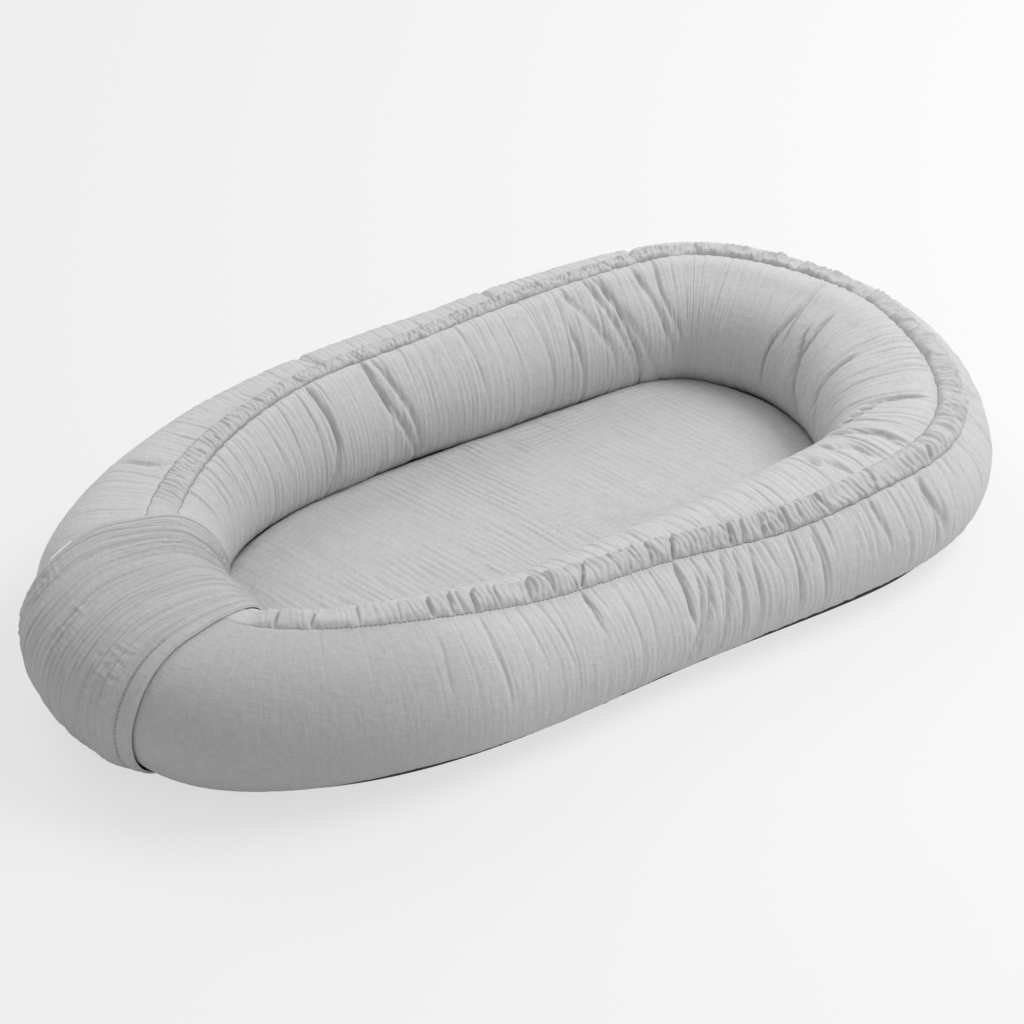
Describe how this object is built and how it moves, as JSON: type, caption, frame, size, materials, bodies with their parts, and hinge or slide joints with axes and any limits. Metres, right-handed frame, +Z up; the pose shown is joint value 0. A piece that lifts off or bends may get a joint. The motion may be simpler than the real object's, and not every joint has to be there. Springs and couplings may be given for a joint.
{
  "type": "infant lounger",
  "caption": "Infant lounger: a soft padded roll bent into a ring round a flat mattress, with a gathered drawcord casing and a wrap over the joint at the foot.",
  "frame": {"origin": "on the floor under the middle of the ring's box", "axes": "+X towards the head end, +Y towards the far long side, +Z up"},
  "size_m": [0.9007, 0.5036, 0.1344],
  "materials": {
    "muslin": "crinkled double gauze, matt",
    "muslin_top": "crinkled double gauze, matt",
    "wadding": "loose fibre",
    "foam": "open cell foam",
    "backing": "plain woven cotton",
    "tape": "satin tape, blank",
    "cord": "braided cord",
    "moulded": "fine moulded texture",
    "steel": "drawn wire"
  },
  "bodies": {
    "root": {"base_panel": "backing", "bolster_filling": "wadding", "bolster_outer_panel": "muslin", "bolster_inner_panel": "muslin", "bolster_end_near": "muslin", "bolster_end_far": "muslin", "drawstring_casing": "muslin", "drawcord": "cord", "cord_lock_barrel": "moulded", "cord_lock_spring": "steel", "foot_wrap": "muslin", "side_label": "tape"},
    "mattress": {"mattress_core": "foam", "mattress_cover": "muslin_top"},
    "wrap_end": {"foot_wrap_end": "muslin"},
    "lock_plunger": {"cord_lock_plunger": "moulded"}
  },
  "joints": [
    {"name": "mattress_lift", "type": "slide", "parent": "root", "child": "mattress", "axis": [0, 0, 1], "range_m": [0, 0.24]},
    {"name": "wrap_end_fold", "type": "hinge", "parent": "root", "child": "wrap_end", "pos_m": [-0.3189, 0, 0.134], "axis": [0, -1, 0], "range_deg": [0, 110]},
    {"name": "lock_press", "type": "slide", "parent": "root", "child": "lock_plunger", "axis": [-0.9534, 0.0033, 0.3017], "range_m": [0, 0.003], "stiffness_N_per_m": 500, "springref_m": -0.004, "deforming": ["cord_lock_spring"]}
  ]
}
